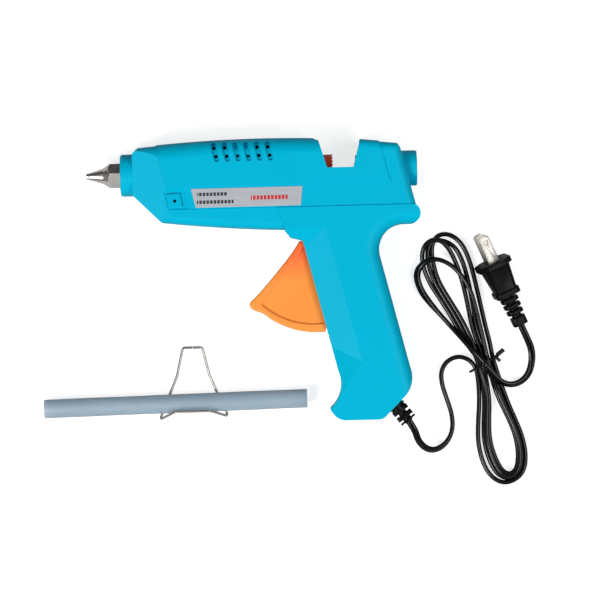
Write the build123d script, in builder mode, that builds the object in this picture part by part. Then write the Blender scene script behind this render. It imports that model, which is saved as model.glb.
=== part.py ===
"""Hot-melt glue gun for 11 mm sticks, with its mains lead, wire stand and a spare stick.

The gun lies on its side, as it is laid down on a bench.  X runs along the barrel from the
nozzle to the tail, Y runs from the foot of the handle to the top of the barrel, and Z is up,
out of the gun's left side.  Every place on the gun is given as (along, up, out): along from
the nozzle's tip, up from the barrel's axis, and out from the middle plane of the housing.
"""
import math
import os
from build123d import *

os.makedirs("parts", exist_ok=True)

# ---- driving dimensions, in millimetres -------------------------------------------------
PANEL_HALF = 18.5        # half the greatest width: the raised side panels it rests on
BODY_HALF = 18.0         # barrel, outside the raised panels
GRIP_HALF = 17.8         # handle and tail
CHIN_HALF = 17.2         # lower front of the body
WALL = 2.3               # moulded wall
TOP_ROUND = 9.0          # rounding along the top of the barrel
BACK_ROUND = 8.0         # rounding down the back of the handle
STICK_R = 5.6            # glue stick, 11.2 mm across
BORE_R = 6.2             # clear way for the stick
MID_Z = PANEL_HALF       # height of the middle plane above the bench
TIP_X = -83.3            # nozzle tip in the object's frame
AXIS_Y = 63.775          # barrel axis in the object's frame
RAKE = 13.8              # lean of the handle, degrees from upright

PIVOT = (134.5, -42.0)   # trigger pivot
SWING = 22.0             # degrees from released to fully squeezed
DRIVE_ARM = 26.0         # trigger pivot up to the gripper's drive pin
CARRIAGE_R = 9.2
CARRIAGE_BACK = 145.3
CARRIAGE_LONG = 33.0
GROOVE_UP = -21.3        # line moulded along both sides
GLAND = (178.5, -139.0)  # where the lead leaves the handle's chamfered corner
GLAND_TURN = -52.0       # direction of the lead there, degrees from +X
SCREWS = [(50.5, -23.5), (96.5, 13.0), (155.5, -16.5),
          (184.5, -27.0), (149.5, -104.0), (164.5, -138.5)]


def level(out=0.0):
    """Plane across the gun at a distance out from its middle plane, drawn in (along, up)."""
    return Plane((TIP_X, AXIS_Y, MID_Z + out))


def across(along, up=0.0, out=0.0):
    """Plane square to the barrel and facing the tail, drawn in (up, out)."""
    return Plane((TIP_X + along, AXIS_Y + up, MID_Z + out), x_dir=(0, 1, 0), z_dir=(1, 0, 0))


def place(along, up, out=0.0):
    """A point of the gun in the object's frame."""
    return Vector(TIP_X + along, AXIS_Y + up, MID_Z + out)


def slope_plane(point, out, toward, slope):
    """Plane that drops away from `out` at `point` as it goes toward a direction on the side."""
    length = math.hypot(*toward)
    run = (toward[0] / length, toward[1] / length)
    normal = Vector(slope * run[0], slope * run[1], 1.0)
    return Plane(place(*point, out), x_dir=(-run[1], run[0], 0), z_dir=normal)


def both_sides(solid):
    """A solid and its mirror image across the housing's middle plane."""
    return solid + mirror(solid, about=Plane.XY.offset(MID_Z))


def save(part, name):
    part.label = name
    export_step(part, "parts/" + name + ".step")
    print(name, round(part.volume, 1), len(part.solids()))


# ---- housing: outside, and the same shape drawn in by a wall for the hollow -------------
FRONT_TOP = (126.3, -41.0)                      # top of the handle's front edge
FRONT_RUN = (math.sin(math.radians(RAKE)), -math.cos(math.radians(RAKE)))
WEB = (186.0, -47.8)                            # centre of the hollow for the thumb
WEB_R = 15.0


def silhouette(inset):
    """The whole side outline, as deep as the bench allows, to trim the rounded bars."""
    with BuildPart() as piece:
        with BuildSketch(level(-30)):
            with BuildLine():
                nose = Polyline((27.6, -12.3), (27.6, 12.2), (31.6, 16.2), (40.0, 17.6), (41.4, 40.0),
                                (134.0, 40.0), (134.0, 18.5), (137.0, 17.2), (141.7, 1.1), (157.3, 1.1),
                                (161.2, 15.8), (162.0, 40.0), (182.8, 40.0), (182.9, 14.6), (184.7, 12.2),
                                (193.2, -21.8))
                ThreePointArc(nose @ 1, (195.7, -26.8), (190.6, -32.8))
                Line((190.6, -32.8), (186.0, WEB[1] + WEB_R))
                back = Vector(-math.cos(math.radians(RAKE)), -math.sin(math.radians(RAKE))) * WEB_R + Vector(*WEB)
                web_mid = Vector(-math.sin(math.radians(52)), math.cos(math.radians(52))) * WEB_R + Vector(*WEB)
                ThreePointArc((186.0, WEB[1] + WEB_R), web_mid, back)
                Line(back, (187.3, -116.5))
                ThreePointArc((187.3, -116.5), (188.2, -124.5), (184.0, -133.5))
                Line((184.0, -133.5), (173.0, -144.5))
                ThreePointArc((173.0, -144.5), (170.9, -146.3), (168.0, -147.0))
                Line((168.0, -147.0), (149.0, -147.0))
                ThreePointArc((149.0, -147.0), (145.0, -146.0), (141.0, -142.1))
                ThreePointArc((141.0, -142.1), (140.1, -140.4), (141.0, -138.9))
                ThreePointArc((141.0, -138.9), (146.6, -128.5), (145.4, -118.6))
                Polyline((145.4, -118.6), FRONT_TOP, (119.2, -39.1), (115.5, -34.4))
                ThreePointArc((115.5, -34.4), (80.0, -32.2), (43.8, -28.4))
                Line((43.8, -28.4), (27.6, -12.3))
            make_face()
            if inset:
                offset(amount=-inset)
        extrude(amount=60)
    return piece.part


def barrel_bar(inset, half=BODY_HALF):
    """Barrel with its rounded top, run on past both ends."""
    low = GROOVE_UP - (4 if inset > 0 else 0)
    with BuildPart() as piece:
        with BuildSketch(level(inset - half)):
            with BuildLine():
                ThreePointArc((20, 14.6 - inset), (103.4, 18.95 - inset), (149, 17.6 - inset))
                Polyline((149, 17.6 - inset), (149, low), (20, low), (20, 14.6 - inset))
            make_face()
        extrude(amount=2 * (half - inset))
        crowns = piece.edges().filter_by(GeomType.CIRCLE)
        fillet(crowns, TOP_ROUND - inset)
    return piece.part


def tail_bar(inset, half=BODY_HALF):
    """Body behind the notch, rounded along its top and down its back."""
    low = GROOVE_UP - (4 if inset > 0 else 0)
    back_top = Vector(184.2 - inset, 14.4 - inset)
    with BuildPart() as piece:
        with BuildSketch(level(inset - half)):
            with BuildLine():
                top = Line((140, 19.2 - inset), back_top)
                back = Line(top @ 1, (193.3 - inset, GROOVE_UP))
                Polyline(back @ 1, (193.3 - inset, low), (140, low), (140, 19.2 - inset))
            make_face()
        extrude(amount=2 * (half - inset))
        rims = piece.edges().filter_by(lambda e: abs(abs(e.center().Z - MID_Z) - half + inset) < 0.01)
        crowns = rims.filter_by(lambda e: e.center().Y > AXIS_Y - 12 and e.center().X > TIP_X + 141)
        fillet(crowns, 5.0 - inset)
    return piece.part


def chin_bar(inset):
    """Lower front of the body, a little narrower than the barrel."""
    high = GROOVE_UP + (4 if inset > 0 else 0)
    half = CHIN_HALF - inset
    with BuildPart() as piece:
        with BuildSketch(level(-half)):
            with BuildLine():
                ThreePointArc((20, inset - 25.0), (80, inset - 32.2), (130, inset - 34.8))
                Polyline((130, inset - 34.8), (130, high), (20, high), (20, inset - 25.0))
            make_face()
        extrude(amount=2 * half)
        fillet(piece.edges().filter_by(GeomType.CIRCLE), 5.0 - inset)
    return piece.part


def grip_bar(inset):
    """Handle and tail, rounded down the back."""
    high = GROOVE_UP + (4 if inset > 0 else 0)
    half = GRIP_HALF - inset
    radius = WEB_R + inset
    lean = math.radians(RAKE)
    back = Vector(-math.cos(lean), -math.sin(lean)) * radius + Vector(*WEB)
    web_mid = Vector(-math.sin(lean + 0.7), math.cos(lean + 0.7)) * radius + Vector(*WEB)
    foot = back + Vector(FRONT_RUN) * 105
    with BuildPart() as piece:
        with BuildSketch(level(-half)):
            with BuildLine():
                Polyline((112.0 - inset, high), (113.0 - inset, -24.0), (116.6 - inset, -34.6), (100, -50), (100, -160),
                         (foot.X, -160), foot, back)
                ThreePointArc(back, web_mid, (WEB[0], WEB[1] + radius))
                Polyline((WEB[0], WEB[1] + radius), (200, WEB[1] + radius), (200, high), (112.0 - inset, high))
            make_face()
        extrude(amount=2 * half)
        rims = piece.edges().filter_by(lambda e: abs(abs(e.center().Z - MID_Z) - half) < 0.01)
        backs = rims.filter_by(lambda e: e.center().X > place(165, 0).X and e.center().Y < place(0, -30).Y
                               and e.center().Y > place(0, -150).Y)
        fillet(backs, BACK_ROUND - inset)
    return piece.part


def grip_facet(inset):
    """What is cut from one side along the handle's front edge, fading at both ends."""
    run = Vector(*FRONT_RUN)
    drop = inset / math.cos(math.atan2(6.5, 15.0))
    start = place(*FRONT_TOP) - run * 12
    plane = Plane(start, x_dir=(-run.Y, run.X, 0), z_dir=run)
    with BuildPart() as piece:
        with BuildSketch(plane):
            with BuildLine():
                Polyline((-12, 6.1 - drop), (20, 20.0 - drop), (20, 30), (-12, 30), close=True)
            make_face()
        extrude(amount=112)
        split(bisect_by=slope_plane((159.3, -113.0), GRIP_HALF - inset, (-0.835, 0.55), 0.33), keep=Keep.TOP)
        split(bisect_by=slope_plane((141.6, -33.5), GRIP_HALF - inset, (0.0, -1.0), 0.6), keep=Keep.TOP)
    return piece.part


def nose_shave(inset):
    """What is cut from one side of the nose: its taper to the collar and its lower bevel."""
    block = Box(70, 80, 40).moved(Location(place(27, -10, 22.0)))
    keep = block
    for point, toward, slope in (((44.6, 4.0), (-0.974, -0.228), 0.31), ((38.0, -17.0), (-0.705, -0.709), 0.75)):
        keep = split(keep, bisect_by=slope_plane(point, BODY_HALF - inset * 1.04, toward, slope), keep=Keep.BOTTOM)
    return block - keep


def envelope(inset):
    """Housing outside at inset 0, its hollow at inset WALL."""
    bars = barrel_bar(inset) + tail_bar(inset) + chin_bar(inset) + grip_bar(inset)
    body = bars & silhouette(inset)
    return body - both_sides(grip_facet(inset)) - both_sides(nose_shave(inset))


# ---- housing: raised details and the two shells -----------------------------------------
COLLAR_R = 12.4
COLLAR_FRONT = 20.2
TUBE_R = 10.4
TUBE_BACK = 194.6
VENT_PITCH = 6.28
VENT_FIRST = (76.4, 11.65)
VENT_TILT = 12.7
VENT_DEEP = 1.2
VENT_INSIDE = 9.0        # out from the middle plane, inside the wall at the crown
PAD_FLOOR = 17.1         # floor of the dish round the stand's hole, out from the middle plane
STAND_HOLE = (52.2, -16.2)
SPRING_POST = (157.3, -10.4)
CLAMP_SCREWS = [(165.6, -121.0), (178.4, -121.0)]


def side_panel():
    """Raised panel over the middle of the barrel, on both sides and over the top."""
    with BuildPart() as edge:
        with BuildSketch(level(-30)):
            with BuildLine():
                Polyline((40.9, 40), (41.5, 17.5), (46.6, -5.5), (48.6, -8.0), (179.0, -8.0), (177.6, -5.0),
                         (172.3, 16.3), (172.3, 40), close=True)
            make_face()
        extrude(amount=60)
    raised = barrel_bar(-0.5) + tail_bar(-0.5)
    return raised & edge.part & silhouette(0)


def stand_pad():
    """Raised parallelogram round the stand's hole."""
    with BuildPart() as pad:
        with BuildSketch(level(PAD_FLOOR - 1)):
            with BuildLine():
                Polyline((47.0, -12.0), (55.3, -11.7), (56.8, -19.8), (48.4, -19.5), close=True)
            make_face()
        extrude(amount=PANEL_HALF - PAD_FLOOR + 1)
        chamfer(pad.faces().sort_by(Axis.Z)[-1].edges(), 0.3)
    return pad.part


def pad_pocket():
    """Shallow dish that the pad stands in, with sloping sides."""
    with BuildPart() as dish:
        with BuildSketch(level(PAD_FLOOR)):
            with BuildLine():
                Polyline((46.0, -11.0), (57.4, -10.8), (58.8, -20.4), (47.6, -20.6), close=True)
            make_face()
        extrude(amount=4, taper=-50)
    return dish.part


def vent_slots():
    """Six slanted slots sunk to the same depth all over, each with two holes through the wall."""
    with BuildPart() as slots:
        with BuildSketch(level(VENT_INSIDE)):
            for n in range(6):
                with Locations((VENT_FIRST[0] + n * VENT_PITCH, VENT_FIRST[1])):
                    SlotOverall(11.3, 3.3, rotation=90 + VENT_TILT)
        extrude(amount=14)
    with BuildPart() as holes:
        with BuildSketch(level(VENT_INSIDE)):
            for n in range(6):
                middle = (VENT_FIRST[0] + n * VENT_PITCH, VENT_FIRST[1])
                tilt = math.radians(VENT_TILT)
                for step in (-2.55, 2.55):
                    with Locations((middle[0] - step * math.sin(tilt), middle[1] + step * math.cos(tilt))):
                        Circle(1.05)
        extrude(amount=14)
    return (slots.part - envelope(VENT_DEEP)) + holes.part


def side_groove():
    """V-shaped line along the side."""
    with BuildPart() as groove:
        with BuildSketch(across(54.0, GROOVE_UP)):
            with BuildLine():
                Polyline((0.0, BODY_HALF - 1.0), (0.55, BODY_HALF + 1), (-0.55, BODY_HALF + 1), close=True)
            make_face()
        extrude(amount=150)
    return groove.part


def column(spot, radius, low=-BODY_HALF, high=BODY_HALF):
    """Round column square to the side."""
    with BuildPart() as post:
        with BuildSketch(level(low)):
            with Locations(spot):
                Circle(radius)
        extrude(amount=high - low)
    return post.part


def along_barrel(radius, front, back, up=0.0):
    """Round bar along the barrel."""
    with BuildPart() as bar:
        with BuildSketch(across(front, up)):
            Circle(radius)
        extrude(amount=back - front)
    return bar.part


def block(along, up, out):
    """Box between two values on each axis of the gun."""
    size = (along[1] - along[0], up[1] - up[0], out[1] - out[0])
    middle = (sum(along) / 2, sum(up) / 2, sum(out) / 2)
    return Box(*size).moved(Location(place(*middle)))


outside = envelope(0) + side_panel() - both_sides(pad_pocket()) + both_sides(stand_pad())
with BuildPart() as collar:
    with BuildSketch(across(COLLAR_FRONT)):
        Circle(COLLAR_R)
    extrude(amount=14)
    fillet(collar.faces().sort_by(Axis.X)[0].edges(), 1.5)
with BuildPart() as rear_tube:
    with BuildSketch(across(165)):
        Circle(TUBE_R)
    extrude(amount=TUBE_BACK - 165)
    fillet(rear_tube.faces().sort_by(Axis.X)[-1].edges(), 1.0)
outside = outside + collar.part + rear_tube.part - both_sides(vent_slots()) - both_sides(side_groove())

hollow = envelope(WALL)
shell = outside - hollow
inner = envelope(WALL - 0.4)

RIB_SPOTS = ((46.0, 48.0, 9.4), (87.0, 89.0, 9.6), (104.0, 106.0, 9.6), (126.0, 128.0, 9.6), (170.0, 172.0, 8.0))
ribs = None
for front, back, opening in RIB_SPOTS:
    rib = block((front, back), (-15.0, 25.0), (-20, 20)) & inner
    rib = rib - along_barrel(opening, front - 1, back + 1)
    ribs = rib if ribs is None else ribs + rib
bosses = None
for spot in SCREWS:
    boss = column(spot, 3.4) & inner
    bosses = boss if bosses is None else bosses + boss
hub_bosses = both_sides(column(PIVOT, 5.0, 8.8, BODY_HALF)) & inner
stand_bosses = both_sides(column(STAND_HOLE, 3.0, 9.5, BODY_HALF)) & inner
guide = along_barrel(8.4, 158.0, 190.0)
spring_post = column(SPRING_POST, 1.4) & inner
clamp_seat = block((163.0, 181.0), (-124.0, -118.0), (-BODY_HALF, -2.0)) & inner
shell = shell + ribs + bosses + hub_bosses + stand_bosses + guide + spring_post + clamp_seat

# ways through: collar, carriage, stick, trigger slot, jaw and drive pin, leads
shell = shell - along_barrel(9.8, 10.0, 36.0) - along_barrel(9.6, 96.0, 158.5) - along_barrel(BORE_R, 150.0, 200.0)
shell = shell - block((96.0, 152.0), (-20.0, 0.0), (-8.6, 8.6))
shell = shell - block((36.0, 82.0), (-20.5, 8.5), (-9.6, 9.6))
slot_plane = Plane(place(*FRONT_TOP), x_dir=(FRONT_RUN[0], FRONT_RUN[1], 0), z_dir=(0, 0, 1))
slot_box = Box(56.9, 14.0, 18.6).moved(Location((27.8, 1.0, 0.0)))
shell = shell - slot_plane.location * slot_box
shell = shell - both_sides(column(PIVOT, 2.5, 0, 12.5)) - both_sides(column(STAND_HOLE, 0.95, 8.0, 25.0))
gland_plane = Plane(place(*GLAND), x_dir=(0, 0, 1), z_dir=Vector(1, 0, 0).rotate(Axis.Z, GLAND_TURN))
gland_hole = extrude(gland_plane * Circle(4.6), amount=12, both=True)
shell = shell - gland_hole

left = split(shell, bisect_by=Plane.XY.offset(MID_Z), keep=Keep.TOP)
right = split(shell, bisect_by=Plane.XY.offset(MID_Z), keep=Keep.BOTTOM)
for spot in SCREWS:
    left = left - column(spot, 1.1, -1, 11.5)
    right = right - column(spot, 1.5, -25, 1) - column(spot, 3.0, -25, -6.0)
for spot in CLAMP_SCREWS:
    right = right - column(spot, 1.1, -9, 0)
save(left, "left_housing")
save(right, "right_housing")


# ---- label and screws -------------------------------------------------------------------
with BuildPart() as label:
    with BuildSketch(level(BODY_HALF)):
        with BuildLine():
            Polyline((61.8, -9.4), (127.0, -9.4), (125.8, -20.5), (64.4, -20.5), close=True)
        make_face()
    extrude(amount=0.3)
save(label.part, "rating_label")

screws = None
for spot in SCREWS:
    with BuildPart() as screw:
        with BuildSketch(level(-8.2)):
            with Locations(spot):
                Circle(2.8)
        extrude(amount=2.2)
        with BuildSketch(level(-6.0)):
            with Locations(spot):
                Circle(1.1)
        extrude(amount=16.0)
        with BuildSketch(level(-8.2)):
            with Locations(spot):
                Rectangle(3.4, 0.7)
                Rectangle(0.7, 3.4)
        extrude(amount=1.2, mode=Mode.SUBTRACT)
    screws = screw.part if screws is None else screws + screw.part
save(screws, "housing_screws")


# ---- nozzle, melt chamber and heater ----------------------------------------------------
def turned(points):
    """Solid turned about the barrel's axis from points given as (along, radius)."""
    plane = Plane(place(0, 0), x_dir=(1, 0, 0), z_dir=(0, 0, 1))
    with BuildPart() as piece:
        with BuildSketch(plane):
            with BuildLine():
                Polyline(*points, close=True)
            make_face()
        revolve(axis=Axis(place(0, 0), (1, 0, 0)), revolution_arc=360)
    return piece.part


HEX_ACROSS = 13.0
cone = turned([(0, 0.8), (0, 1.65), (5, 3.0), (10, 4.6), (12.6, 6.2), (14.4, 7.6), (21.3, 7.6), (21.3, 4.45),
               (33, 4.45), (33, 3.0), (23, 2.3), (11.5, 2.3), (8.5, 1.2), (4, 0.8)])
with BuildPart() as hexagon:
    with BuildSketch(across(-1)):
        RegularPolygon(HEX_ACROSS / 2, 6, major_radius=False, rotation=20)
    extrude(amount=40)
save(cone & hexagon.part, "nozzle")
ball = Sphere(1.9).moved(Location(place(11.2, 0)))
save(ball - along_barrel(3, 5, 9.2), "nozzle_ball")


def coil(start, turns, pitch, radius, wire):
    """Wire spring along the barrel from a start point."""
    path = Helix(pitch, turns * pitch, radius, center=start, direction=(1, 0, 0))
    section = Plane(path @ 0, z_dir=path % 0) * Circle(wire)
    return sweep(section, path=path, is_frenet=True)


save(coil(place(13.6, 0), 5, 1.7, 1.75, 0.25), "nozzle_spring")

CHAMBER_R = 8.3
chamber = turned([(21.6, 4.6), (21.6, 6.5), (30.0, 6.5), (30.0, CHAMBER_R), (73.8, CHAMBER_R), (73.8, 7.2),
                  (80.0, 7.2), (80.0, 7.7), (82.0, 7.2), (82.0, 5.9), (48.0, 5.9), (34.0, 3.2), (33.4, 4.6)])
chamber = chamber + (block((34.0, 70.0), (-10.0, -4.0), (-8.0, 8.0)) - along_barrel(7.0, 30, 75))
save(chamber, "melt_chamber")
save(block((38, 66), (-12.95, -10.85), (-6.2, 6.2)), "ptc_element")
save(block((38, 73), (-10.85, -10.35), (-5.8, 5.8)) + block((38, 73), (-13.45, -12.95), (-5.8, 5.8)),
     "electrode_plates")
save(block((36.5, 69.0), (-13.75, -10.05), (-7.0, 7.0)) - block((36, 70), (-13.46, -10.34), (-6.3, 6.3)),
     "heater_insulation")
save(block((42, 62), (-15.0, 2.0), (-9.2, 9.2)) - block((41, 63), (-13.76, 3.0), (-8.35, 8.35)), "heater_clip")
save(turned([(21.8, 6.6), (21.8, 9.7), (29.6, 9.7), (29.6, 6.6)]), "front_ring")
save(turned([(74.2, 7.8), (74.2, 9.3), (98.0, 9.3), (98.0, 8.0), (96.5, 5.9), (83.0, 5.9), (82.5, 7.8)]),
     "inlet_sleeve")
save(turned([(80.5, 9.35), (80.5, 10.0), (84.0, 10.0), (84.0, 9.35)]), "sleeve_clamp")

# ---- feed carriage and stick gripper ----------------------------------------------------
JAW_PIN = (138.5, -9.4)
half_swing = math.radians(SWING / 2)
DRIVE_PIN = (PIVOT[0] + DRIVE_ARM * math.tan(half_swing), PIVOT[1] + DRIVE_ARM)
front = CARRIAGE_BACK - CARRIAGE_LONG
carriage = along_barrel(CARRIAGE_R, front, CARRIAGE_BACK)
carriage = carriage + block((124.0, 144.0), (-12.0, 0.0), (-8.0, 8.0))
carriage = carriage - along_barrel(BORE_R, front - 1, CARRIAGE_BACK + 1)
carriage = carriage - block((120.8, 143.0), (-20.0, -3.0), (-4.2, 4.2)) - column(JAW_PIN, 1.25)
for n in range(5):
    notch = Box(1.3, 1.3, 40).moved(Location(place(CARRIAGE_BACK, 0.4 + n * 1.9), (0, 0, 45)))
    carriage = carriage - notch
save(carriage, "feed_carriage")

with BuildPart() as jaw:
    with BuildSketch(level(-3.9)):
        with Locations(JAW_PIN):
            Circle(2.6)
        with Locations(DRIVE_PIN):
            Circle(2.8)
        make_hull()
        with BuildLine():
            Polyline((123.6, -6.0), (124.9, -7.2), (125.6, -6.0), (126.9, -7.2), (127.6, -6.0), (128.9, -7.2),
                     (129.6, -6.0), (138.5, -7.0), (138.5, -11.6), (134.0, -11.0), (123.6, -9.6), close=True)
        make_face()
    extrude(amount=7.8)
    with BuildSketch(level(-7.8)):
        with Locations(DRIVE_PIN):
            Circle(2.0)
    extrude(amount=15.6)
    with BuildSketch(level(-10)):
        with Locations(JAW_PIN):
            Circle(1.3)
    extrude(amount=20, mode=Mode.SUBTRACT)
save(jaw.part, "stick_gripper")
save(column(JAW_PIN, 1.25, -7.9, 7.9), "gripper_pin")
save(coil(place(144.9, *SPRING_POST[1:]), 7, 1.4, 1.9, 0.28), "return_spring")

# ---- trigger ----------------------------------------------------------------------------
BLADE_HALF = 8.5
lower_right = (138.3, -94.9)
with BuildPart() as trigger:
    with BuildSketch(level(-BLADE_HALF)):
        with BuildLine():
            Spline((124.2, -41.4), (110.0, -60.0), (95.9, -75.2), tangents=((-0.5, -0.86), (-0.74, -0.67)))
            ThreePointArc((95.9, -75.2), (94.2, -77.9), (96.6, -81.2))
            Spline((96.6, -81.2), (101.5, -83.2), (106.0, -86.6), tangents=((0.83, -0.5), (0.8, -0.6)))
            ThreePointArc((106.0, -86.6), (120.0, -93.1), lower_right)
            Polyline(lower_right, (139.0, -91.6), (143.5, -78.0), (143.5, -48.0), (128.6, -42.0), (126.0, -41.4),
                     (124.2, -41.4))
        make_face()
    extrude(amount=2 * BLADE_HALF)
    skin = trigger.edges().filter_by(lambda e: abs(abs(e.center().Z - MID_Z) - BLADE_HALF) < 0.01)
    shown = skin.filter_by(lambda e: e.center().X < place(128, 0).X)
    fillet(shown, 1.3)
    for low, amount in ((BLADE_HALF - 1.6, 5), (-BLADE_HALF + 1.6, -5)):
        with BuildSketch(level(low)):
            with BuildLine():
                Spline((126.2, -45.5), (112.4, -62.0), (100.6, -78.0), tangents=((-0.4, -0.9), (-0.72, -0.7)))
                ThreePointArc((100.6, -78.0), (115.0, -87.2), (137.6, -90.2))
                Polyline((137.6, -90.2), (150.0, -78.0), (150.0, -45.5), (126.2, -45.5))
            make_face()
        extrude(amount=amount, mode=Mode.SUBTRACT)
arm_lean = Location(place(*PIVOT), (0, 0, -SWING / 2))
prongs = arm_lean * Box(9.0, 28.5, 15.2, align=(Align.CENTER, Align.MIN, Align.CENTER))
prongs = prongs - arm_lean * Box(4.6, 12.0, 20, align=(Align.CENTER, Align.MIN, Align.CENTER)).moved(
    Location((0, 20.5, 0)))
prongs = prongs - arm_lean * Box(12.0, 30.0, 8.8, align=(Align.CENTER, Align.MIN, Align.CENTER)).moved(
    Location((0, 9.0, 0)))
finger = trigger.part + column(PIVOT, 6.0, -7.6, 7.6) + prongs
finger = finger - column(PIVOT, 2.55, -20, 20)
save(finger, "trigger")
save(column(PIVOT, 2.5, -12.4, 12.4), "trigger_pin")

# ---- lead entry and wiring inside the handle --------------------------------------------
LEAD_R = 1.9
gland_run = gland_plane.z_dir


def gland_disc(start, length, width, height):
    """Rounded plate square to the gland's axis, from a distance along it."""
    plane = Plane(place(*GLAND) + gland_run * start, x_dir=(0, 0, 1), z_dir=gland_run)
    with BuildPart() as disc:
        with BuildSketch(plane):
            RectangleRounded(height, width, 1.5)
        extrude(amount=length)
    return disc.part


relief = extrude(gland_plane * Circle(4.5), amount=4.5, both=True) + gland_disc(-5.2, 2.0, 9.8, 11.0)
relief = relief + extrude(gland_plane * Circle(2.6), amount=12.5)
for start, length in ((0.7, 0.8), (2.7, 2.7), (6.8, 2.8), (10.8, 1.1)):
    relief = relief + gland_disc(start, length, 10.2, 8.4)
relief = relief - extrude(gland_plane * Circle(LEAD_R + 0.02), amount=20, both=True)
save(relief, "strain_relief")


def tube(points, radius, sizes=None, names=""):
    """Round wire or lead along straight runs joined by tangent arcs."""
    radii = []
    for a, b, c in zip(points, points[1:], points[2:]):
        turn = (b - a).get_angle(c - b)
        run = min((b - a).length, (c - b).length)
        radii.append(0.45 * run / math.tan(math.radians(turn) / 2))
    path = FilletPolyline(*points, radius=sizes or radii)
    section = Plane(path @ 0, z_dir=path % 0) * Circle(radius)
    solid = sweep(section, path=path)
    print(names, "length", round(path.length, 1), "tightest", round(min(sizes or radii), 1),
          "volume ratio", round(solid.volume / (path.length * math.pi * radius ** 2), 4))
    return solid


lead_joint = place(*GLAND) + gland_run * 6
inner = [lead_joint, place(*GLAND) - gland_run * 11, place(172.5, -118), place(171.5, -106)]
save(tube(inner, LEAD_R, names="inner_cord"), "inner_cord")
for name, side in (("live_lead", 1), ("neutral_lead", -1)):
    tab_up = -10.6 if side > 0 else -13.2
    route = [place(171.5, -104.9, side * 0.95), place(171.3, -97.0, side * 5), place(168.5, -76.0, side * 9.5),
             place(165.0, -52.0, side * 12.0), place(152.0, -29.0, side * 12.2), place(128.0, -27.0, side * 12.0),
             place(100.0, -24.5, side * 11.5), place(86.5, -16.5, side * 7.0), place(79.4, tab_up, side * 3.5)]
    save(tube(route, 0.85, names=name), name)
crimps = None
for side, tab_up in ((1, -10.6), (-1, -13.2)):
    sleeve = block((71.5, 78.4), (tab_up - 1.0, tab_up + 1.0), (side * 3.5 - 1.3, side * 3.5 + 1.3))
    sleeve = sleeve - block((70, 73.0), (tab_up - 0.26, tab_up + 0.26), (-9, 9))
    crimps = sleeve if crimps is None else crimps + sleeve
save(crimps, "crimp_terminals")
clamp_bar = block((163.5, 180.5), (-123.5, -118.5), (LEAD_R + 0.05, LEAD_R + 2.2))
for spot in CLAMP_SCREWS:
    clamp_bar = clamp_bar - column(spot, 1.1)
save(clamp_bar, "cord_clamp_bar")
clamp_screws = None
for spot in CLAMP_SCREWS:
    screw = column(spot, 1.9, LEAD_R + 2.25, LEAD_R + 3.6) + column(spot, 1.05, -8.0, LEAD_R + 2.3)
    clamp_screws = screw if clamp_screws is None else clamp_screws + screw
save(clamp_screws, "clamp_screws")


# ---- lead outside the gun: to the hank, the hank, and on to the plug ---------------------
def bench(along, up, height):
    """A point given by its height above the bench."""
    return Vector(TIP_X + along, AXIS_Y + up, height)


lead_route = [lead_joint, place(*GLAND) + gland_run * 17.0, bench(191.4, -161.8, 13.6), bench(198.6, -167.4, 8.8),
              bench(206.8, -164.6, 5.2), bench(212.0, -156.6, 3.0), bench(212.2, -146.6, 2.1),
              bench(209.0, -136.4, 2.0), bench(206.4, -128.0, 2.0), bench(206.0, -120.4, 2.0),
              bench(209.8, -114.2, 2.0), bench(216.4, -111.6, 2.0), bench(222.8, -113.6, 2.2),
              bench(226.8, -119.0, 2.8)]
lead = tube(lead_route, LEAD_R, names="cord_lead")

PLUG_FACE = (237.4, -56.2)
PLUG_PITCH = math.radians(9)      # blades up, lead down
PLUG_ROLL = math.radians(7)
PLUG_RUN = Vector(0.4 * math.cos(PLUG_PITCH), -0.9165 * math.cos(PLUG_PITCH), -math.sin(PLUG_PITCH))
PLUG_HEIGHT = 14.3
PLUG_LONG = 41.6
plug_side = Vector(0.9165, 0.4, 0.0)
plug_up = plug_side.cross(PLUG_RUN) * -math.cos(PLUG_ROLL) + plug_side * math.sin(PLUG_ROLL)
plug_origin = bench(*PLUG_FACE, PLUG_HEIGHT)
plug_place = Location(Plane(plug_origin, x_dir=PLUG_RUN, z_dir=plug_up))
plug_end = plug_origin + PLUG_RUN * PLUG_LONG

tail_route = [bench(237.8, -124.2, 8.8), bench(242.2, -128.0, 7.6), bench(248.0, -129.2, 5.8),
              bench(253.8, -127.6, 4.0), bench(258.0, -123.2, 2.8), bench(260.4, -116.4, 2.6),
              bench(260.2, -108.4, 4.2), plug_end + PLUG_RUN * 7, plug_end - PLUG_RUN * 1.5]
tail = tube(tail_route, LEAD_R, names="cord_tail")

HANK_HIGH = 10.6
hank_outside = [(223.0, -111.5), (223.8, -120.0), (226.6, -132.0), (226.0, -150.0), (225.2, -164.0), (228.0, -176.0),
                (234.7, -185.3), (243.0, -187.6), (252.0, -183.0), (256.0, -172.5), (254.7, -161.3), (249.8, -148.0),
                (244.4, -133.5), (241.2, -121.0), (237.4, -102.0), (233.4, -84.0), (230.0, -69.0), (226.2, -54.0),
                (220.5, -43.5), (211.5, -38.0), (201.5, -40.2), (195.4, -48.0), (192.2, -60.0), (194.0, -71.0),
                (205.0, -86.4), (216.0, -99.6)]
hank_low_eye = [(235.6, -131.0), (235.6, -147.0), (236.0, -163.0), (241.0, -176.8), (246.6, -178.6), (248.6, -170.0),
                (246.4, -156.0), (240.6, -142.0)]
hank_high_eye = [(206.2, -57.4), (209.4, -70.0), (217.4, -83.0), (225.0, -98.6), (222.6, -88.0), (218.4, -73.0),
                 (213.6, -62.0)]
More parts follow.
